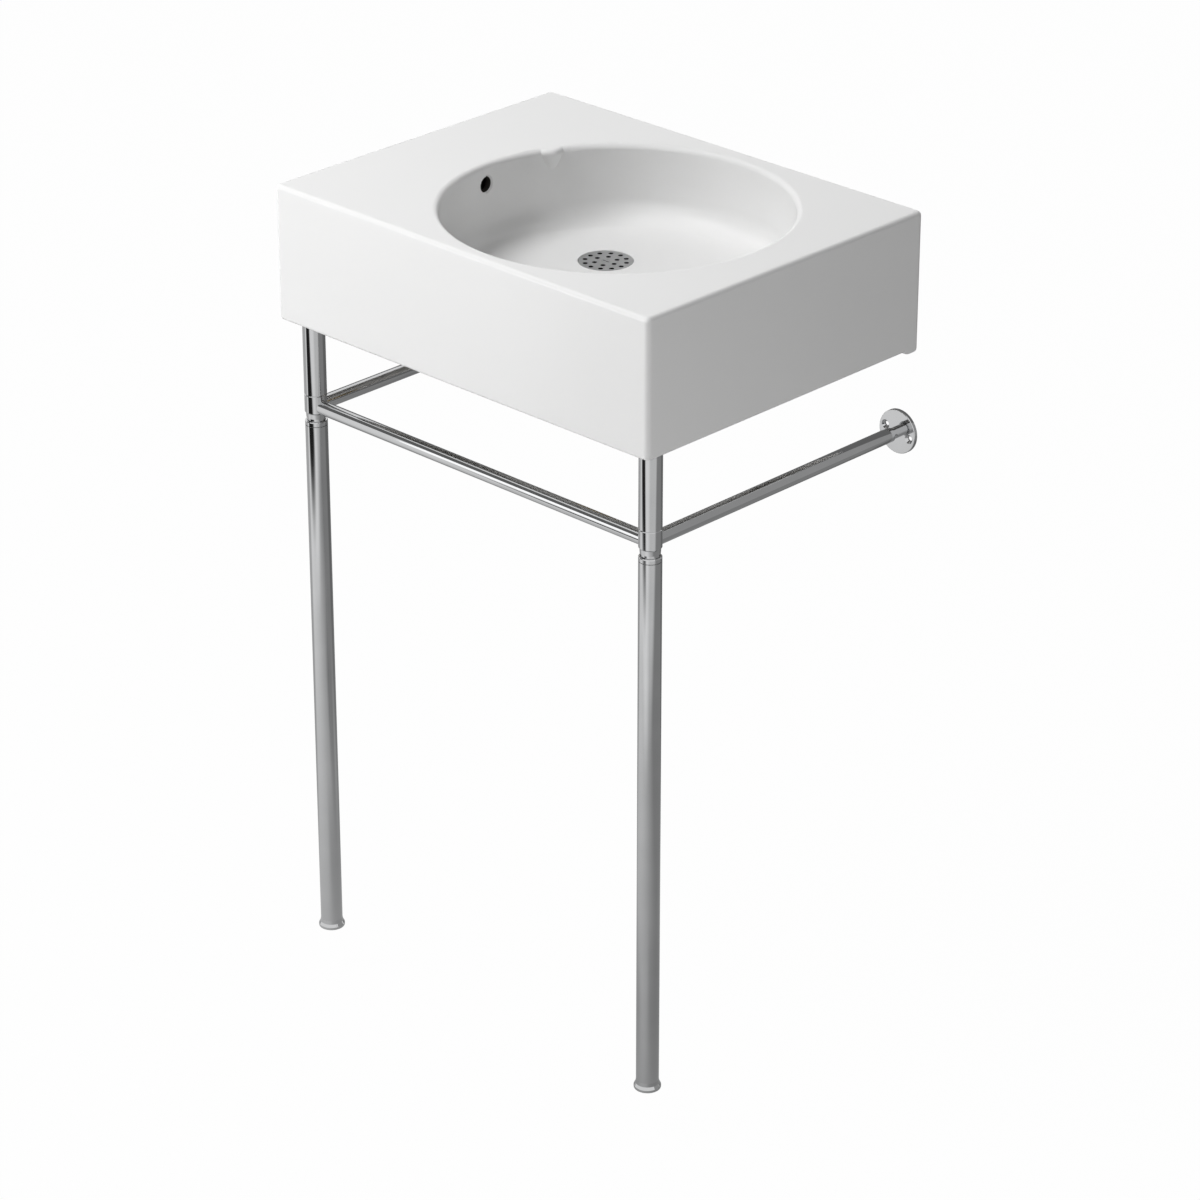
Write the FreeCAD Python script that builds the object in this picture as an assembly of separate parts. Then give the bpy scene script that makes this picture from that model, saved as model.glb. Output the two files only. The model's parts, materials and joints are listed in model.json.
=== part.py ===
import FreeCAD, Part
import math
import os

# Console sink: a rectangular ceramic basin on two chrome legs, with towel rails to the wall.
# Frame: X to the right, Y towards the wall, Z up. The origin is on the floor, under the middle of
# the basin's plan. Millimetres.

# Bowl and the deck around it
bowl_radius = 189.0
bowl_depth = 88.0
front_margin = 18.0
back_margin = 24.0
left_deck = 120.0
right_margin = 52.0
bowl_floor_fillet = 27.0
bowl_floor_rise = 6.0
rim_edge_radius = 6.0

# Small nub on the rim behind the tap side
nub_bearing_deg = 156.0
nub_radius = 19.0
nub_reach = 14.0
nub_height = 30.0
nub_taper = 10.0
nub_edge_radius = 5.0

# Ceramic body
rim_height = 915.0
basin_height = 155.0
skirt_wall = 14.0
deck_thickness = 16.0
bowl_wall = 12.0
bowl_floor_thickness = 18.0
basin_corner_radius = 6.0
basin_top_edge_radius = 5.0
basin_bottom_edge_radius = 3.0
hollow_corner_radius = 10.0
rear_lip_drop = 4.5
rear_lip_depth = 28.0
rear_lip_slope_radius = 15.0
rear_edge_radius = 11.0
leg_seat_width = 50.0
leg_seat_depth = 60.0
leg_seat_thickness = 22.0

# Wall bolt holes in the back of the basin
wall_bolt_spacing = 280.0
wall_bolt_hole_radius = 7.0
wall_bolt_drop = 60.0

# Overflow: a hole in the tap side wall and a cast duct down to the waste bore
overflow_radius = 9.0
overflow_drop = 23.0
overflow_offset_y = -9.0
overflow_lip = 2.0
duct_inner_wall = 9.0
duct_gap = 13.0
duct_width = 36.0
duct_wall = 8.0

# Waste
drain_offset_x = -55.0
drain_offset_y = 39.0
waste_bore_radius = 23.0
waste_boss_wall = 22.0
waste_boss_drop = 6.0
strainer_radius = 30.0
strainer_thickness = 2.0
strainer_sink = 0.4
strainer_recess_clearance = 0.4
strainer_hole_radius = 2.7
strainer_outer_holes = 12
strainer_outer_pitch_radius = 23.0
strainer_inner_holes = 6
strainer_inner_pitch_radius = 12.6
waste_flange_thickness = 8.0
waste_flange_inset = 1.0
waste_funnel_margin = 0.6
waste_funnel_floor = 1.5
waste_thread_radius = 20.95
waste_wall = 3.4
waste_tail = 35.0
waste_relief_width = 2.0
waste_relief_depth = 0.8
waste_slot_count = 4
waste_slot_width = 18.0
waste_slot_margin = 1.0
spider_width = 5.0
spider_height = 5.0
spider_hub_radius = 6.0
spider_hub_drop = 1.5
screw_radius = 3.0
screw_length = 15.0
screw_head_radius = 4.6
screw_head_height = 1.6
screw_slot_width = 1.2
screw_slot_depth = 0.8
screw_clearance = 0.1
top_seal_thickness = 2.0
seal_clearance = 0.25
lower_seal_thickness = 6.0
washer_thickness = 2.0
washer_overlap = 10.0
backnut_height = 11.0
backnut_flats = 58.0
thread_clearance = 0.05

# Legs
leg_radius = 12.5
leg_wall = 1.5
leg_inset_x = 23.0
leg_inset_y = 29.0
leg_pad_thickness = 3.0
leg_plug_length = 20.0
locating_pin_radius = 5.0
locating_pin_length = 10.0
locating_pin_clearance = 0.2
rail_drop = 104.0
seam_chamfer = 0.7
connector_above = 14.5
connector_below = 6.0
connector_shoulder = 1.5
connector_shoulder_radius = 11.3
connector_taper = 7.0
connector_neck_radius = 10.9
connector_spigot_length = 20.0
spigot_stud_radius = 5.0
spigot_stud_length = 19.0
neck_gap = 3.5
lock_ring_height = 5.2
lock_ring_edge = 0.8
lock_ring_lip = 2.0
lock_ring_lip_clearance = 0.3
lock_ring_clearance = 0.1
collet_length = 44.0
collet_wall = 0.95
collet_neck_step = 0.3
collet_slit_width = 1.2
collet_slit_depth = 12.0
slide_clearance = 0.05
end_gap = 0.3
leg_travel = 50.0
bush_length = 16.0
bush_step = 2.0
spigot_wall = 3.0
foot_radius = 15.0
foot_rim_height = 3.5
foot_rim_edge = 1.4
foot_height = 12.0
foot_plug_length = 25.0
glide_thickness = 3.0
glide_proud = 1.0
glide_inset = 3.0

# Towel rails and wall flanges
rail_radius = 8.0
rail_wall = 1.5
rail_end_chamfer = 0.8
rail_insert_length = 22.0
stud_radius = 4.0
stud_reach = 6.0
stud_length_in_rail = 18.0
flange_radius = 25.0
flange_thickness = 4.3
flange_edge_radius = 0.8
flange_stub_shown = 11.0
flange_stub_inserted = 40.0
flange_hole_pitch = 34.0
flange_hole_radius = 2.75
flange_countersink_radius = 5.25
flange_turn_deg = 14.0

# Sizes that follow from those above
basin_width = left_deck + 2 * bowl_radius + right_margin
basin_depth = front_margin + 2 * bowl_radius + back_margin
basin_left = -basin_width / 2
basin_front = -basin_depth / 2
wall_y = basin_depth / 2
underside_z = rim_height - basin_height
bowl_x = basin_left + left_deck + bowl_radius
bowl_y = basin_front + front_margin + bowl_radius
bowl_floor_z = rim_height - bowl_depth
shell_bottom_z = bowl_floor_z - bowl_floor_thickness
drain_x = bowl_x + drain_offset_x
drain_y = bowl_y + drain_offset_y
duct_floor_z = shell_bottom_z - duct_gap
boss_bottom_z = duct_floor_z - duct_wall - waste_boss_drop
strainer_top_z = bowl_floor_z - strainer_sink
strainer_bottom_z = strainer_top_z - strainer_thickness
waste_flange_bottom_z = strainer_bottom_z - waste_flange_thickness
recess_floor_z = waste_flange_bottom_z - top_seal_thickness
backnut_bottom_z = boss_bottom_z - lower_seal_thickness - washer_thickness - backnut_height
waste_relief_z = backnut_bottom_z - waste_relief_width
waste_tail_z = waste_relief_z - waste_relief_width - waste_tail

rim_round = min(rim_edge_radius, 0.45 * min(front_margin, back_margin))
overflow_y = bowl_y + overflow_offset_y
overflow_z = rim_height - overflow_drop
tap_wall_x = bowl_x - math.sqrt(bowl_radius ** 2 - overflow_offset_y ** 2)

leg_x = basin_width / 2 - leg_inset_x
leg_y = basin_front + leg_inset_y
leg_inner_radius = leg_radius - leg_wall
seam_radius = leg_radius - min(seam_chamfer, 0.6 * leg_wall)
seam_height = leg_radius - seam_radius
leg_top_z = underside_z - leg_pad_thickness
rail_z = underside_z - rail_drop
connector_top_z = rail_z + connector_above
connector_bottom_z = rail_z - connector_below - connector_taper
ring_top_z = connector_bottom_z - neck_gap
ring_bottom_z = ring_top_z - lock_ring_height
lower_leg_top_z = ring_bottom_z - end_gap
collet_bottom_z = lower_leg_top_z - collet_length
spigot_radius = leg_inner_radius - collet_wall - slide_clearance
bush_top_z = collet_bottom_z - leg_travel - end_gap
spigot_bottom_z = bush_top_z - bush_length
rail_inner_radius = rail_radius - rail_wall
flange_face_y = wall_y - flange_thickness
side_rail_end_y = flange_face_y - flange_stub_shown

UP = FreeCAD.Vector(0, 0, 1)
BACK = FreeCAD.Vector(0, 1, 0)
RIGHT = FreeCAD.Vector(1, 0, 0)
SIDES = {"left": -1, "right": 1}


def at(x, y, z):
    return FreeCAD.Vector(x, y, z)


def box(low, high):
    size = high - low
    return Part.makeBox(size.x, size.y, size.z, low)


def rod(radius, start, end):
    along = end - start
    return Part.makeCylinder(radius, along.Length, start, along)


def upright(radius, x, y, low_z, high_z):
    return rod(radius, at(x, y, low_z), at(x, y, high_z))


def ring(outer, inner, x, y, low_z, high_z):
    return upright(outer, x, y, low_z, high_z).cut(upright(inner, x, y, low_z, high_z))


def turned(points, x, y):
    # Solid of revolution about an upright axis, from (radius, height) points
    outline = [at(x + radius, y, z) for radius, z in points]
    face = Part.Face(Part.makePolygon(outline + outline[:1]))
    return face.revolve(at(x, y, 0), UP, 360)


def edges_where(shape, test):
    return [edge for edge in shape.Edges if test(edge.BoundBox)]


def upright_edges(shape):
    return edges_where(shape, lambda b: b.ZLength > 1 and b.XLength < 0.01 and b.YLength < 0.01)


def level_edges(shape, z):
    return edges_where(shape, lambda b: abs(b.ZMin - z) < 0.01 and abs(b.ZMax - z) < 0.01)


def one_solid(shape):
    solids = shape.removeSplitter().Solids
    assert len(solids) == 1, "a piece fell apart"
    return solids[0]


def save(name, *solids):
    shape = solids[0] if len(solids) == 1 else Part.makeCompound(list(solids))
    assert all(solid.isValid() for solid in shape.Solids), name
    shape.exportStep("parts/" + name + ".step")


# Ceramic basin

def bowl_shell(top_z):
    # The bowl's outside, as seen from under the basin, with the boss around the waste bore
    shell = upright(bowl_radius + bowl_wall, bowl_x, bowl_y, shell_bottom_z, top_z)
    shell = shell.makeFillet(bowl_floor_fillet + bowl_wall, level_edges(shell, shell_bottom_z))
    return shell.fuse(upright(waste_bore_radius + waste_boss_wall, drain_x, drain_y, boss_bottom_z, bowl_floor_z))


def round_bowl():
    # Upright round wall and a floor that falls slightly to the drain
    top_z = rim_height + deck_thickness
    wall = upright(bowl_radius, bowl_x, bowl_y, shell_bottom_z, top_z)
    reach = bowl_radius + math.hypot(drain_offset_x, drain_offset_y)
    dish_radius = (reach ** 2 + bowl_floor_rise ** 2) / (2 * bowl_floor_rise)
    dish = Part.makeSphere(dish_radius, at(drain_x, drain_y, bowl_floor_z + dish_radius))
    hollow = one_solid(wall.common(dish))
    floor_edges = edges_where(hollow, lambda b: b.ZMax < bowl_floor_z + 2 * bowl_floor_rise)
    return one_solid(hollow.makeFillet(bowl_floor_fillet, floor_edges))


def round_rim():
    low_z = rim_height - rim_round
    high_z = rim_height + rim_round
    start = at(bowl_x + bowl_radius, bowl_y, low_z)
    top = at(start.x + rim_round, bowl_y, rim_height)
    diagonal = rim_round * math.sqrt(0.5)
    middle = at(top.x - diagonal, bowl_y, low_z + diagonal)
    inside = at(bowl_x + bowl_radius - rim_round, bowl_y, low_z)
    outline = Part.makePolygon([top, at(top.x, bowl_y, high_z), at(inside.x, bowl_y, high_z), inside, start])
    profile = Part.Wire(outline.Edges + [Part.Arc(start, middle, top).toShape()])
    return Part.Face(profile).revolve(at(bowl_x, bowl_y, 0), UP, 360)


def rim_nub():
    angle = math.radians(nub_bearing_deg)
    spoke = bowl_radius + rim_round + nub_radius - nub_reach
    centre = at(bowl_x + spoke * math.cos(angle), bowl_y + spoke * math.sin(angle), rim_height - nub_height)
    nub = Part.makeCone(nub_radius - nub_taper, nub_radius, nub_height, centre, UP)
    return nub.makeFillet(nub_edge_radius, level_edges(nub, rim_height))


def rear_lip():
    # Low bulge along the back of the underside that slopes up to it in front
    low_z = underside_z - rear_lip_drop
    front_y = wall_y - rear_lip_depth
    lip = box(at(basin_left, front_y, low_z), at(-basin_left, wall_y, underside_z + rear_lip_slope_radius))
    back_corners = [edge for edge in upright_edges(lip) if abs(edge.BoundBox.YMin - wall_y) < 0.01]
    lip = lip.makeFillet(basin_corner_radius, back_corners)
    front_edge = [edge for edge in level_edges(lip, low_z) if abs(edge.BoundBox.YMax - front_y) < 0.01]
    lip = lip.makeFillet(rear_lip_slope_radius, front_edge)
    slope_end_y = front_y + rear_lip_slope_radius
    low_edges = [edge for edge in level_edges(lip, low_z) if edge.BoundBox.YMax > slope_end_y + 0.01]
    return lip.makeFillet(basin_bottom_edge_radius, low_edges)


def rear_rounding():
    # What is taken off along the back's lower edge
    axis_y = wall_y - rear_edge_radius
    axis_z = underside_z - rear_lip_drop + rear_edge_radius
    low_z = axis_z - 2 * rear_edge_radius
    edge = box(at(2 * basin_left, axis_y, low_z), at(-2 * basin_left, wall_y + rear_edge_radius, axis_z))
    return edge.cut(rod(rear_edge_radius, at(2 * basin_left, axis_y, axis_z), at(-2 * basin_left, axis_y, axis_z)))


def basin_outside():
    low = at(basin_left, basin_front, underside_z)
    body = box(low, at(-basin_left, wall_y, rim_height))
    body = body.makeFillet(basin_corner_radius, upright_edges(body))
    body = body.makeFillet(basin_top_edge_radius, level_edges(body, rim_height))
    body = body.makeFillet(basin_bottom_edge_radius, level_edges(body, underside_z))
    return body.fuse(rear_lip()).cut(rear_rounding())


def duct_run(margin, low_z, high_z):
    # Straight level run from the overflow's shaft to the waste bore
    start_x = tap_wall_x - duct_inner_wall - duct_gap / 2
    run_x = drain_x - start_x
    run_y = drain_y - overflow_y
    half = duct_width / 2 + margin
    run = Part.makeBox(math.hypot(run_x, run_y), 2 * half, high_z - low_z, at(0, -half, 0))
    run.rotate(at(0, 0, 0), UP, math.degrees(math.atan2(run_y, run_x)))
    run.translate(at(start_x, overflow_y, low_z))
    return run


def duct_shaft(margin, low_z, high_z):
    inner_x = tap_wall_x - duct_inner_wall
    half = duct_width / 2 + margin
    low = at(inner_x - duct_gap - margin, overflow_y - half, low_z)
    return box(low, at(inner_x, overflow_y + half, high_z))


def duct_casing(top_z):
    low_z = duct_floor_z - duct_wall
    run = duct_run(duct_wall, low_z, bowl_floor_z + bowl_floor_fillet)
    return run.fuse(duct_shaft(duct_wall, low_z, top_z))


def basin_hollow():
    low = at(basin_left + skirt_wall, basin_front + skirt_wall, underside_z - 2 * rear_lip_drop)
    hollow = box(low, at(-low.x, wall_y - skirt_wall, rim_height - deck_thickness))
    hollow = hollow.makeFillet(hollow_corner_radius, upright_edges(hollow))
    keep = [bowl_shell(rim_height), duct_casing(rim_height)]
    seat_top_z = underside_z + leg_seat_thickness
    for side in SIDES.values():
        outer = at(side * basin_width / 2, basin_front, underside_z)
        inner_x = side * (basin_width / 2 - leg_seat_width)
        inner_y = basin_front + leg_seat_depth
        seat = box(at(min(outer.x, inner_x), outer.y, underside_z), at(max(outer.x, inner_x), inner_y, seat_top_z))
        inner_edge = [edge for edge in upright_edges(seat)
                      if abs(edge.BoundBox.XMin - inner_x) < 0.01 and abs(edge.BoundBox.YMin - inner_y) < 0.01]
        keep.append(seat.makeFillet(hollow_corner_radius, inner_edge))
    return hollow.cut(keep)


def basin_cuts():
    cuts = [round_bowl(), round_rim()]
    shaft_top_z = overflow_z + overflow_radius + overflow_lip
    cuts.append(duct_shaft(0, duct_floor_z, shaft_top_z))
    cuts.append(duct_run(0, duct_floor_z, shell_bottom_z))
    shaft_x = tap_wall_x - duct_inner_wall - duct_gap / 2
    bowl_side_x = tap_wall_x + overflow_radius
    cuts.append(rod(overflow_radius, at(shaft_x, overflow_y, overflow_z), at(bowl_side_x, overflow_y, overflow_z)))
    wide_radius = overflow_radius + overflow_lip
    cone_start = at(tap_wall_x - overflow_lip, overflow_y, overflow_z)
    cuts.append(Part.makeCone(overflow_radius, wide_radius, overflow_lip, cone_start, RIGHT))
    cuts.append(upright(waste_bore_radius, drain_x, drain_y, boss_bottom_z - duct_wall, bowl_floor_z))
    recess_radius = strainer_radius + strainer_recess_clearance
    cuts.append(upright(recess_radius, drain_x, drain_y, recess_floor_z, bowl_floor_z + bowl_floor_rise))
    bolt_z = rim_height - wall_bolt_drop
    for side in SIDES.values():
        bolt_x = side * wall_bolt_spacing / 2
        inside_y = wall_y - 1.5 * skirt_wall
        outside_y = wall_y + skirt_wall
        cuts.append(rod(wall_bolt_hole_radius, at(bolt_x, inside_y, bolt_z), at(bolt_x, outside_y, bolt_z)))
        pin_radius = locating_pin_radius + locating_pin_clearance
        pin_top_z = underside_z + locating_pin_length + locating_pin_clearance
        cuts.append(upright(pin_radius, side * leg_x, leg_y, underside_z, pin_top_z))
    return cuts


def basin_pieces():
    # One casting in three pieces that meet face to face: deck with skirt, bowl, and overflow duct
    casting = basin_outside().cut(basin_cuts()).fuse(rim_nub())
    casting = one_solid(casting.cut(basin_hollow()))
    bowl = bowl_shell(rim_height - rim_round)
    duct = duct_casing(rim_height - deck_thickness).cut(bowl)
    return {
        "basin": one_solid(casting.cut([bowl, duct])),
        "basin_bowl": one_solid(casting.common(bowl)),
        "overflow_duct": one_solid(casting.common(duct)),
    }


# Waste

def around_drain(radius, angle_deg):
    angle = math.radians(angle_deg)
    return drain_x + radius * math.cos(angle), drain_y + radius * math.sin(angle)


def strainer():
    plate = upright(strainer_radius, drain_x, drain_y, strainer_bottom_z, strainer_top_z)
    rim = level_edges(plate, strainer_top_z)
    plate = plate.makeFillet(0.4 * strainer_thickness, rim)
    holes = []
    rows = [(strainer_outer_holes, strainer_outer_pitch_radius), (strainer_inner_holes, strainer_inner_pitch_radius)]
    for count, pitch_radius in rows:
        for index in range(count):
            x, y = around_drain(pitch_radius, 360 * index / count)
            holes.append(upright(strainer_hole_radius, x, y, strainer_bottom_z, strainer_top_z))
    holes.append(upright(screw_radius + screw_clearance, drain_x, drain_y, strainer_bottom_z, strainer_top_z))
    head_radius = screw_head_radius + screw_clearance
    head_z = strainer_top_z - screw_head_height
    holes.append(upright(head_radius, drain_x, drain_y, head_z, strainer_top_z))
    return one_solid(plate.cut(holes))


def strainer_screw():
    head_z = strainer_top_z - screw_head_height
    head = upright(screw_head_radius, drain_x, drain_y, head_z, strainer_top_z)
    shank = upright(screw_radius, drain_x, drain_y, head_z - screw_length, head_z)
    half = screw_slot_width / 2
    slot_low = at(drain_x - 2 * screw_head_radius, drain_y - half, strainer_top_z - screw_slot_depth)
    slot = box(slot_low, at(drain_x + 2 * screw_head_radius, drain_y + half, strainer_top_z))
    return one_solid(head.fuse(shank).cut(slot))


def waste_body():
    # A funnel under the strainer, a threaded tail, and a spider that takes the strainer's screw
    inner_radius = waste_thread_radius - waste_wall
    outer_radius = strainer_radius - waste_flange_inset
    body = upright(outer_radius, drain_x, drain_y, waste_flange_bottom_z, strainer_bottom_z)
    body = body.fuse(upright(waste_thread_radius, drain_x, drain_y, waste_tail_z, strainer_bottom_z))
    funnel_radius = strainer_outer_pitch_radius + strainer_hole_radius + waste_funnel_margin
    body = body.cut(turned([
        (0, waste_tail_z),
        (inner_radius, waste_tail_z),
        (inner_radius, waste_flange_bottom_z + waste_funnel_floor),
        (funnel_radius, strainer_bottom_z),
        (0, strainer_bottom_z),
    ], drain_x, drain_y))
    spider_low_z = waste_flange_bottom_z - spider_height
    hub_low_z = spider_low_z - spider_hub_drop
    spider = upright(spider_hub_radius, drain_x, drain_y, hub_low_z, strainer_bottom_z)
    for turn in (0, 120, 240):
        arm = Part.makeBox(waste_thread_radius - waste_wall / 2, spider_width, spider_height, at(0, -spider_width / 2, 0))
        arm.rotate(at(0, 0, 0), UP, turn + 90)
        arm.translate(at(drain_x, drain_y, spider_low_z))
        spider = spider.fuse(arm)
    body = body.fuse(spider)
    cuts = [upright(screw_radius + thread_clearance, drain_x, drain_y, hub_low_z, strainer_bottom_z)]
    relief_low_z = waste_relief_z - waste_relief_width
    relief_radius = waste_thread_radius - waste_relief_depth
    cuts.append(ring(strainer_radius, relief_radius, drain_x, drain_y, relief_low_z, waste_relief_z))
    slot_low_z = duct_floor_z + waste_slot_margin
    slot_high_z = shell_bottom_z - waste_slot_margin
    for index in range(waste_slot_count):
        slot = Part.makeBox(2 * waste_wall, waste_slot_width, slot_high_z - slot_low_z,
                            at(waste_thread_radius - 1.5 * waste_wall, -waste_slot_width / 2, 0))
        slot.rotate(at(0, 0, 0), UP, 360 * (index + 0.5) / waste_slot_count)
        slot.translate(at(drain_x, drain_y, slot_low_z))
        cuts.append(slot)
    return one_solid(body.cut(cuts))


def waste_top_seal():
    outer = strainer_radius - waste_flange_inset
    return ring(outer, waste_thread_radius + seal_clearance, drain_x, drain_y, recess_floor_z, waste_flange_bottom_z)


def waste_lower_seal():
    outer = waste_bore_radius + washer_overlap
    inner = waste_thread_radius + seal_clearance
    low_z = boss_bottom_z - lower_seal_thickness
    seal = ring(outer, inner, drain_x, drain_y, low_z, boss_bottom_z)
    outer_edge = edges_where(seal, lambda b: abs(b.ZMax - low_z) < 0.01 and b.XLength > 2 * inner + 1)
    return one_solid(seal.makeChamfer(0.3 * lower_seal_thickness, outer_edge))


def waste_washer():
    high_z = boss_bottom_z - lower_seal_thickness
    outer = waste_bore_radius + washer_overlap
    return ring(outer, waste_thread_radius + seal_clearance, drain_x, drain_y, high_z - washer_thickness, high_z)


def waste_backnut():
    high_z = boss_bottom_z - lower_seal_thickness - washer_thickness
    low_z = backnut_bottom_z
    corner_radius = backnut_flats / 2 / math.cos(math.pi / 6)
    corners = [at(*around_drain(corner_radius, 60 * index), low_z) for index in range(7)]
    nut = Part.Face(Part.makePolygon(corners)).extrude(UP * backnut_height)
    bevel = 0.12 * backnut_height
    # A cone trims the six corners at both faces
    trim = turned([
        (0, low_z),
        (backnut_flats / 2, low_z),
        (corner_radius + bevel, low_z + 2 * bevel),
        (corner_radius + bevel, high_z - 2 * bevel),
        (backnut_flats / 2, high_z),
        (0, high_z),
    ], drain_x, drain_y)
    bore = upright(waste_thread_radius + thread_clearance, drain_x, drain_y, low_z, high_z)
    return one_solid(nut.common(trim).cut(bore))


# Legs

def leg_pad(x):
    return ring(leg_radius, locating_pin_radius + locating_pin_clearance, x, leg_y, leg_top_z, underside_z)


def leg_top_plug(x):
    plug = upright(leg_inner_radius, x, leg_y, leg_top_z - leg_plug_length, leg_top_z)
    return one_solid(plug.fuse(upright(locating_pin_radius, x, leg_y, leg_top_z, underside_z + locating_pin_length)))


def upper_leg(x):
    # A tube, with a small chamfer where it meets the connector
    return turned([
        (leg_inner_radius, connector_top_z),
        (seam_radius, connector_top_z),
        (leg_radius, connector_top_z + seam_height),
        (leg_radius, leg_top_z),
        (leg_inner_radius, leg_top_z),
    ], x, leg_y)


def rail_directions(side):
    # Unit vectors from a corner connector to the front rail and to its side rail
    return [RIGHT * -side, BACK]


def connector(side):
    x = side * leg_x
    body = turned([
        (0, connector_bottom_z),
        (connector_neck_radius, connector_bottom_z),
        (connector_shoulder_radius, rail_z - connector_below - connector_shoulder),
        (leg_radius, rail_z - connector_below),
        (leg_radius, connector_top_z - seam_height),
        (seam_radius, connector_top_z),
        (leg_inner_radius, connector_top_z),
        (leg_inner_radius, connector_top_z + connector_spigot_length),
        (0, connector_top_z + connector_spigot_length),
    ], x, leg_y)
    cuts = [upright(spigot_stud_radius, x, leg_y, connector_bottom_z, connector_bottom_z + spigot_stud_length)]
    axis = at(x, leg_y, rail_z)
    for direction in rail_directions(side):
        cuts.append(rod(stud_radius, axis + direction * stud_reach, axis + direction * 2 * leg_radius))
    return one_solid(body.cut(cuts))


def leg_spigot(x):
    body = upright(spigot_radius, x, leg_y, bush_top_z, connector_bottom_z)
    body = body.fuse(upright(spigot_radius - bush_step, x, leg_y, spigot_bottom_z, bush_top_z))
    body = body.fuse(upright(spigot_stud_radius, x, leg_y, connector_bottom_z, connector_bottom_z + spigot_stud_length))
    bore_radius = spigot_radius - bush_step - spigot_wall
    bore = upright(bore_radius, x, leg_y, spigot_bottom_z, connector_bottom_z - spigot_wall)
    return one_solid(body.cut(bore))


def spigot_bush(x):
    outer = leg_inner_radius - slide_clearance
    return ring(outer, spigot_radius - bush_step, x, leg_y, spigot_bottom_z, bush_top_z)


def collet_neck_top_z():
    return ring_top_z - lock_ring_lip - end_gap


def leg_collet(x):
    neck_radius = leg_inner_radius + collet_neck_step
    body = upright(leg_inner_radius, x, leg_y, collet_bottom_z, lower_leg_top_z)
    body = body.fuse(upright(neck_radius, x, leg_y, lower_leg_top_z, collet_neck_top_z()))
    bore_radius = spigot_radius + slide_clearance
    cuts = [upright(bore_radius, x, leg_y, collet_bottom_z, collet_neck_top_z())]
    slit_low_z = collet_neck_top_z() - collet_slit_depth
    half = collet_slit_width / 2
    reach = 2 * leg_radius
    cuts.append(box(at(x - reach, leg_y - half, slit_low_z), at(x + reach, leg_y + half, ring_top_z)))
    cuts.append(box(at(x - half, leg_y - reach, slit_low_z), at(x + half, leg_y + reach, ring_top_z)))
    return one_solid(body.cut(cuts))


def lock_ring(x):
    inner = leg_inner_radius + collet_neck_step + lock_ring_clearance
    lip_inner = spigot_radius + lock_ring_lip_clearance
    lip_z = ring_top_z - lock_ring_lip
    return turned([
        (inner, ring_bottom_z),
        (leg_radius - lock_ring_edge / 2, ring_bottom_z),
        (leg_radius, ring_bottom_z + lock_ring_edge / 2),
        (leg_radius, ring_top_z - lock_ring_edge),
        (leg_radius - lock_ring_edge, ring_top_z),
        (lip_inner, ring_top_z),
        (lip_inner, lip_z),
        (inner, lip_z),
    ], x, leg_y)


def lower_leg(x):
    return ring(leg_radius, leg_inner_radius, x, leg_y, foot_height, lower_leg_top_z)


def leg_foot(x):
    rim_z = glide_proud + foot_rim_height
    flare_mid_radius = leg_radius + 0.3 * (foot_radius - leg_radius)
    flare_mid_z = rim_z + 0.45 * (foot_height - rim_z)
    foot = turned([
        (0, glide_proud),
        (foot_radius, glide_proud),
        (foot_radius, rim_z),
        (flare_mid_radius, flare_mid_z),
        (leg_radius, foot_height),
        (leg_inner_radius, foot_height),
        (leg_inner_radius, foot_height + foot_plug_length),
        (0, foot_height + foot_plug_length),
    ], x, leg_y)
    rim_edges = [edge for edge in edges_where(foot, lambda b: b.XLength > 2 * foot_radius - 0.01)
                 if edge.BoundBox.ZLength < 0.01]
    foot = foot.makeFillet(foot_rim_edge, rim_edges)
    recess = upright(foot_radius - glide_inset, x, leg_y, glide_proud, glide_thickness)
    return one_solid(foot.cut(recess))


def foot_glide(x):
    return upright(foot_radius - glide_inset, x, leg_y, 0, glide_thickness)


# Towel rails and wall flanges

def front_rail():
    start = at(-leg_x, leg_y, rail_z)
    end = at(leg_x, leg_y, rail_z)
    tube = rod(rail_radius, start, end).cut(rod(rail_inner_radius, start, end))
    ends = [upright(leg_radius, side * leg_x, leg_y, rail_z - leg_radius, rail_z + leg_radius) for side in SIDES.values()]
    return one_solid(tube.cut(ends))


def side_rail(x):
    start = at(x, leg_y, rail_z)
    end = at(x, side_rail_end_y, rail_z)
    tube = rod(rail_radius, start, end)
    mouth = edges_where(tube, lambda b: abs(b.YMin - side_rail_end_y) < 0.01)
    tube = tube.makeChamfer(min(rail_end_chamfer, 0.8 * rail_wall), mouth)
    tube = tube.cut(rod(rail_inner_radius, start, end))
    return one_solid(tube.cut(upright(leg_radius, x, leg_y, rail_z - leg_radius, rail_z + leg_radius)))


def rail_inserts():
    inserts = []
    for side in SIDES.values():
        axis = at(side * leg_x, leg_y, rail_z)
        for direction in rail_directions(side):
            start = axis + direction * leg_radius
            end = axis + direction * (leg_radius + rail_insert_length)
            inserts.append(rod(rail_inner_radius, start, end).cut(rod(stud_radius, start, end)))
    return inserts


def rail_studs():
    studs = []
    for side in SIDES.values():
        axis = at(side * leg_x, leg_y, rail_z)
        for direction in rail_directions(side):
            start = axis + direction * stud_reach
            studs.append(rod(stud_radius, start, axis + direction * (leg_radius + stud_length_in_rail)))
    return studs


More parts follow.
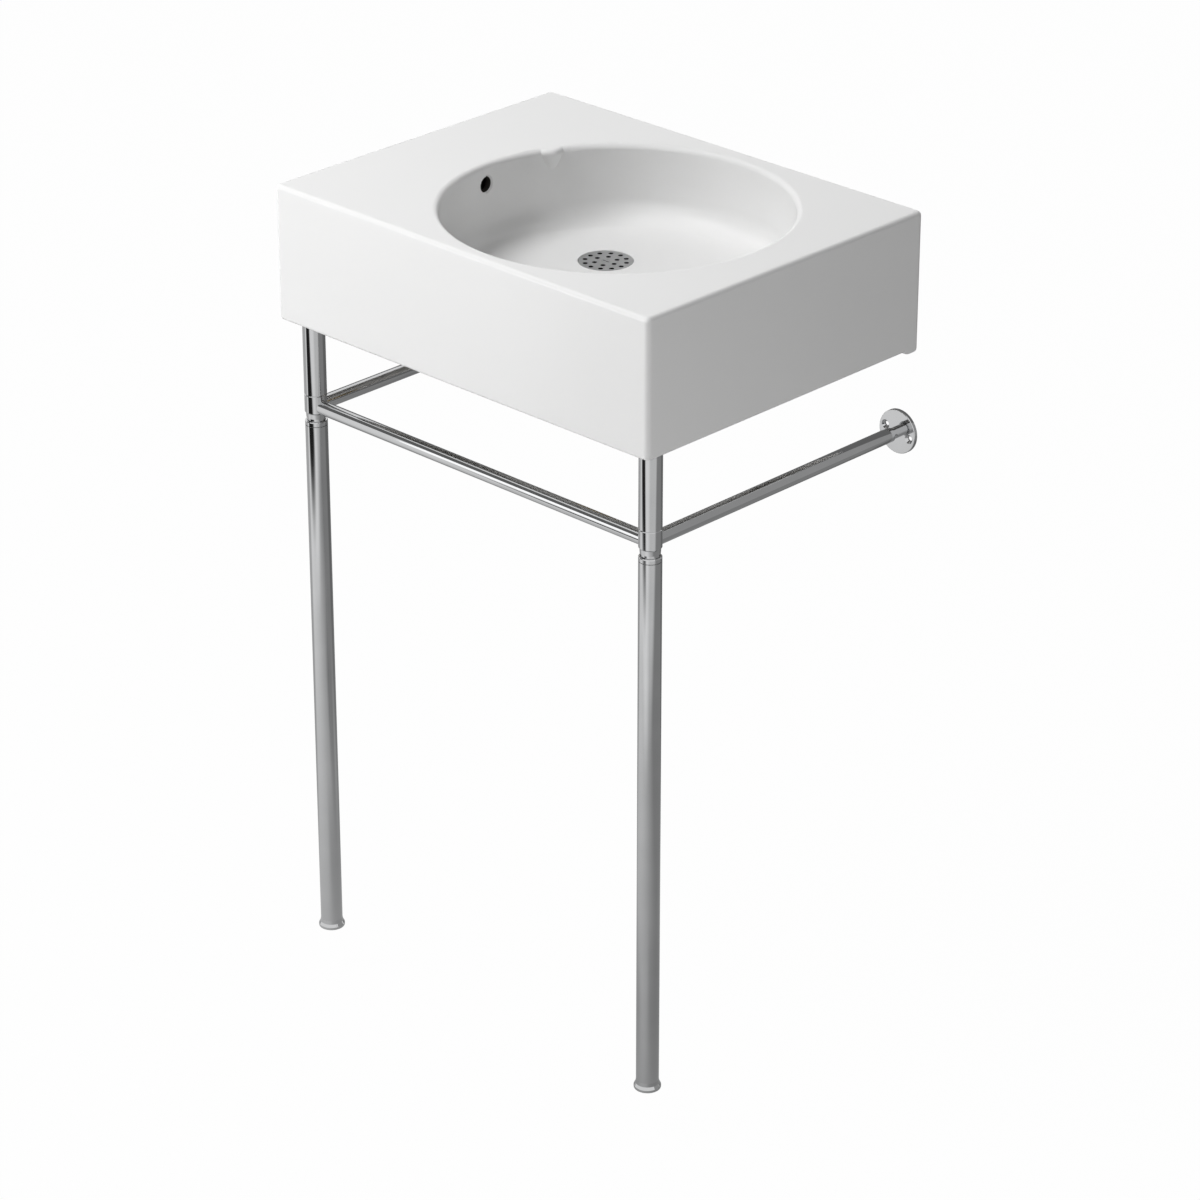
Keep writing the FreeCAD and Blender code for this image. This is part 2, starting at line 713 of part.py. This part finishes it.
def wall_flange(x):
    centre = at(x, flange_face_y, rail_z)
    wall_point = at(x, wall_y, rail_z)
    disc = rod(flange_radius, centre, wall_point)
    front_rim = edges_where(disc, lambda b: b.YLength < 0.01 and abs(b.YMin - flange_face_y) < 0.01)
    disc = disc.makeFillet(flange_edge_radius, front_rim)
    stub_radius = rail_inner_radius - slide_clearance
    stub_end = at(x, side_rail_end_y - flange_stub_inserted, rail_z)
    flange = disc.fuse(rod(stub_radius, stub_end, centre))
    sink_depth = flange_countersink_radius - flange_hole_radius
    cuts = []
    for turn in (180 - flange_turn_deg, -flange_turn_deg):
        angle = math.radians(turn)
        offset = at(math.cos(angle), 0, math.sin(angle)) * (flange_hole_pitch / 2)
        cuts.append(rod(flange_hole_radius, centre + offset, wall_point + offset))
        cuts.append(Part.makeCone(flange_countersink_radius, flange_hole_radius, sink_depth, centre + offset, BACK))
    return one_solid(flange.cut(cuts))


def main():
    os.makedirs("parts", exist_ok=True)
    for name, piece in basin_pieces().items():
        save(name, piece)
    save("waste_strainer", strainer())
    save("strainer_screw", strainer_screw())
    save("waste_body", waste_body())
    save("waste_top_seal", waste_top_seal())
    save("waste_lower_seal", waste_lower_seal())
    save("waste_washer", waste_washer())
    save("waste_backnut", waste_backnut())
    for name, side in SIDES.items():
        x = side * leg_x
        save("leg_pad_" + name, leg_pad(x))
        save("leg_top_plug_" + name, leg_top_plug(x))
        save("upper_leg_" + name, upper_leg(x))
        save("corner_connector_" + name, connector(side))
        save("leg_spigot_" + name, leg_spigot(x))
        save("spigot_bush_" + name, spigot_bush(x))
        save("leg_collet_" + name, leg_collet(x))
        save("lock_ring_" + name, lock_ring(x))
        save("lower_leg_" + name, lower_leg(x))
        save("leg_foot_" + name, leg_foot(x))
        save("foot_glide_" + name, foot_glide(x))
        save("side_rail_" + name, side_rail(x))
        save("wall_flange_" + name, wall_flange(x))
    save("front_rail", front_rail())
    save("rail_inserts", *rail_inserts())
    save("rail_studs", *rail_studs())


main()
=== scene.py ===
import json
import math

import bpy
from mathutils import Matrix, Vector

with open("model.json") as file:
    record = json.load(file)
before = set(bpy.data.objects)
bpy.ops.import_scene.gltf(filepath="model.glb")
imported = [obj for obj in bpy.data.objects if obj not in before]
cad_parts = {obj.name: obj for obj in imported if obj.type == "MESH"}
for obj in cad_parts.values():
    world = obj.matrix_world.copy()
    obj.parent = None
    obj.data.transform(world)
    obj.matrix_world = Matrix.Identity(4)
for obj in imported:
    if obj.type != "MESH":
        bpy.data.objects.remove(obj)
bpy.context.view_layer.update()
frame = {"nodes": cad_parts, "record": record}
nodes = frame["nodes"]
scene = bpy.context.scene

# Places and limits that tell the regions of the ceramic and of the waste apart, in metres
HOLLOW_HALF_WIDTH = 0.2625
HOLLOW_HALF_DEPTH = 0.1975
HOLLOW_TOP_Z = 0.9005
BOWL_CENTRE = Vector((0.034, -0.003))
BOWL_RADIUS = 0.189
BOWL_EDGE_WIDTH = 0.008
BOWL_LOW_Z = 0.82
OVERFLOW_PLACE = Vector((-0.1548, -0.012, 0.892))
OVERFLOW_REACH = 0.012
OVERFLOW_LIP_X = -0.158
DUCT_FACE_X = -0.1635
DUCT_BACK_X = -0.1775
DUCT_HALF_WIDTH = 0.0185
DUCT_LOW_Z = 0.795
DUCT_HIGH_Z = 0.9035
DRAIN_CENTRE = Vector((-0.021, 0.036))
FUNNEL_FLOOR_Z = 0.8175
FUNNEL_RADIUS = 0.0268
WASTE_BORE_RADIUS = 0.0178

# The upward part of a face's normal from which the face counts as the bowl's floor
FLOOR_NORMAL_Z = 0.3


# Materials

class Shader:
    """A new material with a Principled shader and helpers for its texture nodes."""

    def __init__(self, name):
        self.material = bpy.data.materials.new(name)
        self.material.use_nodes = True
        self.tree = self.material.node_tree
        self.surface = self.tree.nodes["Principled BSDF"]
        self.place = self.tree.nodes.new("ShaderNodeTexCoord").outputs["Object"]

    def set(self, **values):
        for name, value in values.items():
            self.surface.inputs[name.replace("_", " ")].default_value = value

    def link(self, output, socket):
        self.tree.links.new(output, self.surface.inputs[socket])

    def noise(self, scale, detail, stretch=(1, 1, 1)):
        mapping = self.tree.nodes.new("ShaderNodeMapping")
        mapping.inputs["Scale"].default_value = stretch
        self.tree.links.new(self.place, mapping.inputs["Vector"])
        texture = self.tree.nodes.new("ShaderNodeTexNoise")
        texture.inputs["Scale"].default_value = scale
        texture.inputs["Detail"].default_value = detail
        self.tree.links.new(mapping.outputs["Vector"], texture.inputs["Vector"])
        return texture.outputs["Fac"]

    def spread(self, factor, low, high, start=0.3, end=0.7):
        remap = self.tree.nodes.new("ShaderNodeMapRange")
        remap.inputs["From Min"].default_value = start
        remap.inputs["From Max"].default_value = end
        remap.inputs["To Min"].default_value = low
        remap.inputs["To Max"].default_value = high
        self.tree.links.new(factor, remap.inputs["Value"])
        return remap.outputs["Result"]

    def blend(self, factor, first, second):
        mix = self.tree.nodes.new("ShaderNodeMix")
        mix.data_type = "RGBA"
        self.tree.links.new(factor, mix.inputs["Factor"])
        for value, socket in ((first, mix.inputs["A"]), (second, mix.inputs["B"])):
            if isinstance(value, tuple):
                socket.default_value = value + (1.0,)
            else:
                self.tree.links.new(value, socket)
        return mix.outputs["Result"]

    def mottle(self, first, second, scale, detail):
        """Clouds of the second colour in the first."""
        return self.blend(self.spread(self.noise(scale, detail), low=0, high=1), first, second)

    def bump(self, height, distance, below=None):
        bump = self.tree.nodes.new("ShaderNodeBump")
        bump.inputs["Strength"].default_value = 1.0
        bump.inputs["Distance"].default_value = distance
        self.tree.links.new(height, bump.inputs["Height"])
        if below:
            self.tree.links.new(below, bump.inputs["Normal"])
        return bump.outputs["Normal"]

    def complete(self, colour, roughness, relief):
        self.link(colour, "Base Color")
        self.link(roughness, "Roughness")
        self.link(relief, "Normal")
        return self.material


def glazed_ceramic():
    # The roughness stays above 0.27, because the denoiser makes patches where a range crosses that value
    shader = Shader("glazed_ceramic")
    shader.set(Coat_Weight=0.5, Coat_Roughness=0.05, Coat_IOR=1.5)
    cloud = shader.noise(scale=4.0, detail=1.0)
    tint = shader.blend(cloud, first=(0.810, 0.810, 0.807), second=(0.840, 0.840, 0.837))
    speck = shader.spread(shader.noise(scale=420.0, detail=1.0), low=0, high=0.2, start=0.76, end=0.84)
    waves = shader.bump(shader.noise(scale=9.0, detail=0.0), distance=0.00005)
    return shader.complete(
        colour=shader.blend(speck, first=tint, second=(0.74, 0.73, 0.71)),
        roughness=shader.spread(shader.noise(scale=9.0, detail=1.0), low=0.29, high=0.36, start=0, end=1),
        relief=shader.bump(shader.noise(scale=150.0, detail=0.0), distance=0.000003, below=waves))


def raw_ceramic(name, light, dark, grain):
    shader = Shader(name)
    body = shader.mottle(dark, light, scale=22.0, detail=5.0)
    grains = shader.spread(shader.noise(scale=520.0, detail=2.0), low=0, high=0.5, start=0.62, end=0.75)
    return shader.complete(
        colour=shader.blend(grains, first=body, second=grain),
        roughness=shader.spread(shader.noise(scale=60.0, detail=3.0), low=0.62, high=0.82),
        relief=shader.bump(shader.noise(scale=600.0, detail=3.0), distance=0.00008))


def polished_chrome():
    shader = Shader("polished_chrome")
    shader.set(Metallic=1.0)
    wiped = shader.noise(scale=90.0, detail=5.0, stretch=(1, 1, 0.12))
    return shader.complete(
        colour=shader.mottle((0.555, 0.560, 0.565), (0.590, 0.594, 0.600), scale=26.0, detail=4.0),
        roughness=shader.spread(wiped, low=0.03, high=0.07, start=0, end=1),
        relief=shader.bump(shader.noise(scale=30.0, detail=2.0), distance=0.00001))


def turned_brass():
    shader = Shader("turned_brass")
    shader.set(Metallic=1.0)
    turning_marks = shader.noise(scale=40.0, detail=2.0, stretch=(1, 1, 40))
    return shader.complete(
        colour=shader.mottle((0.72, 0.55, 0.26), (0.56, 0.42, 0.20), scale=70.0, detail=6.0),
        roughness=shader.spread(shader.noise(scale=140.0, detail=4.0), low=0.22, high=0.42),
        relief=shader.bump(turning_marks, distance=0.00004))


def threaded_steel():
    shader = Shader("threaded_steel")
    shader.set(Metallic=1.0)
    return shader.complete(
        colour=shader.mottle((0.50, 0.51, 0.53), (0.38, 0.385, 0.40), scale=90.0, detail=5.0),
        roughness=shader.spread(shader.noise(scale=160.0, detail=4.0), low=0.30, high=0.48),
        relief=shader.bump(shader.noise(scale=300.0, detail=2.0), distance=0.00003))


# Near-black metal: painted shade for the inside of the waste's funnel and bore
def drain_shade_metal():
    shader = Shader("drain_shade_metal")
    shader.set(Metallic=0.6)
    return shader.complete(
        colour=shader.mottle((0.050, 0.047, 0.042), (0.028, 0.027, 0.025), scale=120.0, detail=5.0),
        roughness=shader.spread(shader.noise(scale=200.0, detail=3.0), low=0.55, high=0.75),
        relief=shader.bump(shader.noise(scale=500.0, detail=2.0), distance=0.00004))


def moulded(name, light, dark, smoothest):
    shader = Shader(name)
    roughest = smoothest + 0.14
    return shader.complete(
        colour=shader.mottle(light, dark, scale=45.0, detail=4.0),
        roughness=shader.spread(shader.noise(scale=220.0, detail=3.0), low=smoothest, high=roughest),
        relief=shader.bump(shader.noise(scale=900.0, detail=2.0), distance=0.00003))


glaze = glazed_ceramic()
raw = raw_ceramic("raw_ceramic", light=(0.77, 0.76, 0.74), dark=(0.70, 0.685, 0.66), grain=(0.60, 0.58, 0.55))
# A near-black copy of the raw ceramic: painted shade for the inside of the overflow's hole and duct
duct_shade = raw_ceramic("duct_shade_ceramic", light=(0.060, 0.055, 0.048), dark=(0.032, 0.029, 0.025),
                      grain=(0.020, 0.018, 0.016))
black_rubber = moulded("black_rubber", light=(0.035, 0.035, 0.036), dark=(0.022, 0.022, 0.023),
                       smoothest=0.55)
pale_plastic = moulded("pale_plastic", light=(0.80, 0.80, 0.78), dark=(0.75, 0.75, 0.73), smoothest=0.38)
dark_plastic = moulded("dark_plastic", light=(0.090, 0.090, 0.092), dark=(0.065, 0.065, 0.067),
                       smoothest=0.42)
finishes = {
    "ceramic": glaze,
    "chrome": polished_chrome(),
    "brass": turned_brass(),
    "steel": threaded_steel(),
    "rubber": black_rubber,
    "plastic": pale_plastic,
    "glide_plastic": dark_plastic,
}
for part in frame["record"]["subparts"]:
    piece = nodes[part["node"]]
    piece.data.materials.clear()
    piece.data.materials.append(finishes[part["material_slot"]])


# The basin is glazed where it shows and raw in the hollow underneath; deep in the overflow's hole and in its
# duct it is painted near-black, as painted shade

def in_bowl(place, normal):
    spoke = place.xy - BOWL_CENTRE
    faces_in = normal.z > FLOOR_NORMAL_Z or normal.xy.dot(spoke) < 0
    return place.z > BOWL_LOW_Z and spoke.length < BOWL_RADIUS + BOWL_EDGE_WIDTH and faces_in


def in_overflow_hole(place):
    offset = place - OVERFLOW_PLACE
    return math.hypot(offset.y, offset.z) < OVERFLOW_REACH and place.x > DUCT_FACE_X


def in_duct(place):
    across = abs(place.y - OVERFLOW_PLACE.y) < DUCT_HALF_WIDTH
    return across and DUCT_BACK_X < place.x < DUCT_FACE_X and DUCT_LOW_Z < place.z < DUCT_HIGH_Z


def in_hollow(place):
    in_plan = abs(place.x) < HOLLOW_HALF_WIDTH and abs(place.y) < HOLLOW_HALF_DEPTH
    return in_plan and place.z < HOLLOW_TOP_Z


def basin_finish(place, normal):
    # Past the lip of the overflow's hole and in its duct, the ceramic gets painted shade
    if in_overflow_hole(place):
        return glaze if place.x > OVERFLOW_LIP_X else duct_shade
    if in_duct(place):
        return duct_shade
    if in_hollow(place) and not in_bowl(place, normal):
        return raw
    return glaze


for name in ("basin", "basin_bowl", "overflow_duct"):
    casting = nodes[name]
    casting.data.materials.append(raw)
    casting.data.materials.append(duct_shade)
    for face in casting.data.polygons:
        face.material_index = [glaze, raw, duct_shade].index(basin_finish(face.center, face.normal))


# The waste body is bright brass outside and painted near-black in its funnel and bore, as painted shade

waste = nodes["waste_body"]
waste.data.materials.append(drain_shade_metal())
for face in waste.data.polygons:
    from_axis = (face.center.xy - DRAIN_CENTRE).length
    in_funnel = face.center.z > FUNNEL_FLOOR_Z and from_axis < FUNNEL_RADIUS
    face.material_index = int(in_funnel or from_axis < WASTE_BORE_RADIUS)


# Stage: a white floor that keeps a trace of the shadow

# The floor lies below the feet of fully drawn-out legs, so that it hides no foot at any pose
FLOOR_Z = -0.051
FLOOR_REACH = 30.0
FLOOR_TONE = 0.45
FLOOR_GLOW = 0.985


def seen_directly(tree):
    """One for camera, glossy and transmission rays, and zero for the rays that carry light."""
    path = tree.nodes.new("ShaderNodeLightPath")
    total = path.outputs["Is Camera Ray"]
    for name in ("Is Glossy Ray", "Is Transmission Ray"):
        either = tree.nodes.new("ShaderNodeMath")
        either.operation = "MAXIMUM"
        tree.links.new(total, either.inputs[0])
        tree.links.new(path.outputs[name], either.inputs[1])
        total = either.outputs["Value"]
    return total


def floor_material(tone, glow):
    """Diffuse for the rays that carry light, mostly a plain white glow where it is seen directly, and clear
    from below, so that the underside can be looked at."""
    material = bpy.data.materials.new("floor")
    material.use_nodes = True
    tree = material.node_tree
    tree.nodes.clear()
    output = tree.nodes.new("ShaderNodeOutputMaterial")
    diffuse = tree.nodes.new("ShaderNodeBsdfDiffuse")
    diffuse.inputs["Color"].default_value = (tone, tone, tone, 1)
    emission = tree.nodes.new("ShaderNodeEmission")
    share = tree.nodes.new("ShaderNodeMath")
    share.operation = "MULTIPLY"
    share.inputs[1].default_value = glow
    tree.links.new(seen_directly(tree), share.inputs[0])
    mix = tree.nodes.new("ShaderNodeMixShader")
    tree.links.new(share.outputs["Value"], mix.inputs["Fac"])
    tree.links.new(diffuse.outputs["BSDF"], mix.inputs[1])
    tree.links.new(emission.outputs["Emission"], mix.inputs[2])
    one_sided = tree.nodes.new("ShaderNodeMixShader")
    geometry = tree.nodes.new("ShaderNodeNewGeometry")
    clear = tree.nodes.new("ShaderNodeBsdfTransparent")
    tree.links.new(geometry.outputs["Backfacing"], one_sided.inputs["Fac"])
    tree.links.new(mix.outputs["Shader"], one_sided.inputs[1])
    tree.links.new(clear.outputs["BSDF"], one_sided.inputs[2])
    tree.links.new(one_sided.outputs["Shader"], output.inputs["Surface"])
    return material


def flat_piece(name, corners, faces, material):
    mesh = bpy.data.meshes.new(name)
    mesh.from_pydata(corners, [], faces)
    mesh.materials.append(material)
    piece = bpy.data.objects.new(name, mesh)
    scene.collection.objects.link(piece)
    return piece


floor_corners = [(-FLOOR_REACH, -FLOOR_REACH, FLOOR_Z), (FLOOR_REACH, -FLOOR_REACH, FLOOR_Z),
                 (FLOOR_REACH, FLOOR_REACH, FLOOR_Z), (-FLOOR_REACH, FLOOR_REACH, FLOOR_Z)]
flat_piece("floor", floor_corners, [(0, 1, 2, 3)], floor_material(FLOOR_TONE, FLOOR_GLOW))


# Cards that only reflections show: a shaded one on the floor, and standing ones for the studio and the wall

def card_material(name):
    material = bpy.data.materials.new(name)
    material.use_nodes = True
    tree = material.node_tree
    tree.nodes.clear()
    output = tree.nodes.new("ShaderNodeOutputMaterial")
    tone = tree.nodes.new("ShaderNodeVertexColor")
    tone.layer_name = "tone"
    emission = tree.nodes.new("ShaderNodeEmission")
    tree.links.new(tone.outputs["Color"], emission.inputs["Color"])
    tree.links.new(emission.outputs["Emission"], output.inputs["Surface"])
    return material


card_finish = card_material("card")


def card(name, corners, faces, tones):
    piece = flat_piece(name, corners, faces, card_finish)
    layer = piece.data.color_attributes.new("tone", "FLOAT_COLOR", "POINT")
    for point, tone in zip(layer.data, tones):
        point.color = (tone, tone, tone, 1)
    piece.visible_camera = False
    piece.visible_diffuse = False
    piece.visible_transmission = False
    piece.visible_shadow = False


def standing_card(name, start, end, low_z, high_z, tone):
    corners = [(*start, low_z), (*end, low_z), (*end, high_z), (*start, high_z)]
    card(name, corners, [(0, 1, 2, 3)], [tone] * 4)


def smooth(value, low, high):
    share = min(max((value - low) / (high - low), 0.0), 1.0)
    return share * share * (3 - 2 * share)


# The shaded card on the floor. Side and front are directions on the floor, to the camera's right and about
# towards the camera. Each pair of lengths, in metres, says where a change starts and where it ends.

SIDE_WAY = Vector((0.7185, 0.6955))
FRONT_WAY = Vector((0.7200, -0.6940))
SHADE_REACH = 2.4
SHADE_STEPS = 96
SHADE_LIFT = 0.001

NEAR_TONE = 0.50
NEAR_FALL = 0.33
NEAR_DARKEST = 0.30
NEAR_LIGHTEST = 0.95

FAR_TONE = 0.74
FAR_FALL = 0.45
FAR_LIGHTEST = 1.0
FAR_SLANT = 0.6
FAR_SPAN = (1.15, 1.55)

BEHIND_SHADE = 0.4
BEHIND_SPAN = (0.15, 0.45)

FEET = (Vector((-0.252, -0.181)), Vector((0.252, -0.181)))
FOOT_SHADE = 0.25
FOOT_SIDE_SPAN = (-0.10, 0.12)
FOOT_REACH_SPAN = (0.25, 0.55)

PATCH_TONE = 0.02
PATCH_FRONT_SHARE = 0.6
PATCH_SIDE_SHARE = 0.8
PATCH_EDGE_SPAN = (1.3, 1.65)
PATCH_START_SPAN = (0.1, 0.3)
PATCH_END_SPAN = (1.2, 1.5)


def floor_tone(place):
    """Painted reflection of the floor: paler to the left and far in front, darker with painted shadow behind,
    under the basin, and to the right of each foot, with a dark patch at the front left."""
    side = place.dot(SIDE_WAY)
    front = place.dot(FRONT_WAY)
    left_only = min(side, 0.0)
    near_tone = min(max(NEAR_TONE - NEAR_FALL * side, NEAR_DARKEST), NEAR_LIGHTEST)
    far_tone = min(FAR_TONE - FAR_FALL * left_only, FAR_LIGHTEST)
    tone = near_tone + (far_tone - near_tone) * smooth(front - FAR_SLANT * left_only, *FAR_SPAN)
    tone *= 1 - BEHIND_SHADE * smooth(-front, *BEHIND_SPAN)
    for foot in FEET:
        offset = place - foot
        right_of_foot = smooth(offset.dot(SIDE_WAY), *FOOT_SIDE_SPAN)
        tone *= 1 - FOOT_SHADE * right_of_foot * (1 - smooth(offset.length, *FOOT_REACH_SPAN))
    past_edge = PATCH_FRONT_SHARE * front - PATCH_SIDE_SHARE * side
    patch = smooth(past_edge, *PATCH_EDGE_SPAN) * smooth(front, *PATCH_START_SPAN)
    patch *= 1 - smooth(front, *PATCH_END_SPAN)
    return tone + (PATCH_TONE - tone) * patch


def shaded_floor():
    row = SHADE_STEPS + 1
    marks = [SHADE_REACH * (2 * step / SHADE_STEPS - 1) for step in range(row)]
    places = [Vector((x, y)) for y in marks for x in marks]
    faces = []
    for line in range(SHADE_STEPS):
        for step in range(SHADE_STEPS):
            first = line * row + step
            faces.append((first, first + 1, first + row + 1, first + row))
    corners = [(place.x, place.y, FLOOR_Z + SHADE_LIFT) for place in places]
    card("floor_shade", corners, faces, [floor_tone(place) for place in places])


shaded_floor()
standing_card("front_panel", start=(-2.6, -0.9), end=(-0.5, -2.7), low_z=1.3, high_z=2.9, tone=0.16)
standing_card("front_light", start=(-0.69, -0.83), end=(-0.25, -0.83), low_z=0.57, high_z=0.895, tone=1.7)
standing_card("back_panel", start=(0.9, 2.6), end=(2.9, 0.5), low_z=0.0, high_z=4.5, tone=0.40)
standing_card("wall_shade", start=(-0.9, 0.26), end=(0.31, 0.26), low_z=0.56, high_z=0.905, tone=0.18)


# Sky: white where it is seen directly, and dimmer as a source of light

SKY_LIGHT = 0.25
SKY_TONE = 1.0

world = bpy.data.worlds.new("studio")
scene.world = world
world.use_nodes = True
sky = world.node_tree.nodes["Background"]
sky.inputs["Color"].default_value = (1, 1, 1, 1)
level = world.node_tree.nodes.new("ShaderNodeMapRange")
level.inputs["To Min"].default_value = SKY_LIGHT
level.inputs["To Max"].default_value = SKY_TONE
world.node_tree.links.new(seen_directly(world.node_tree), level.inputs["Value"])
world.node_tree.links.new(level.outputs["Result"], sky.inputs["Strength"])


# Lamps, which don't show in the metal

def area_lamp(name, place, target, size, power):
    lamp = bpy.data.lights.new(name, "AREA")
    lamp.shape = "DISK"
    lamp.size = size
    lamp.energy = power
    piece = bpy.data.objects.new(name, lamp)
    piece.location = place
    piece.rotation_euler = (Vector(target) - Vector(place)).to_track_quat("-Z", "Y").to_euler()
    piece.visible_camera = False
    piece.visible_glossy = False
    scene.collection.objects.link(piece)


area_lamp("overhead", place=(-1.2, -1.5, 3.4), target=(0, 0, 0.9), size=1.6, power=82.0)
area_lamp("front", place=(-1.55, -2.1, 0.6), target=(0, -0.2, 0.8), size=0.8, power=23.0)
area_lamp("right", place=(1.4, -0.7, 0.5), target=(0.275, 0, 0.8), size=0.8, power=4.9)


# Camera, solved from the photo

CAMERA_PLACE = (3.0236, -3.1183, 2.5471)
CAMERA_WAY = Vector((-0.62580, 0.64651, -0.43634))
SENSOR_WIDTH_MM = 36.0
LENS_MM = 130.9
FARTHEST_SEEN = 100.0

camera_data = bpy.data.cameras.new("camera")
camera_data.sensor_fit = "HORIZONTAL"
camera_data.sensor_width = SENSOR_WIDTH_MM
camera_data.lens = LENS_MM
camera_data.clip_end = FARTHEST_SEEN
camera = bpy.data.objects.new("camera", camera_data)
camera.location = CAMERA_PLACE
camera.rotation_euler = CAMERA_WAY.to_track_quat("-Z", "Y").to_euler()
scene.collection.objects.link(camera)
scene.camera = camera

scene.view_settings.view_transform = "Standard"
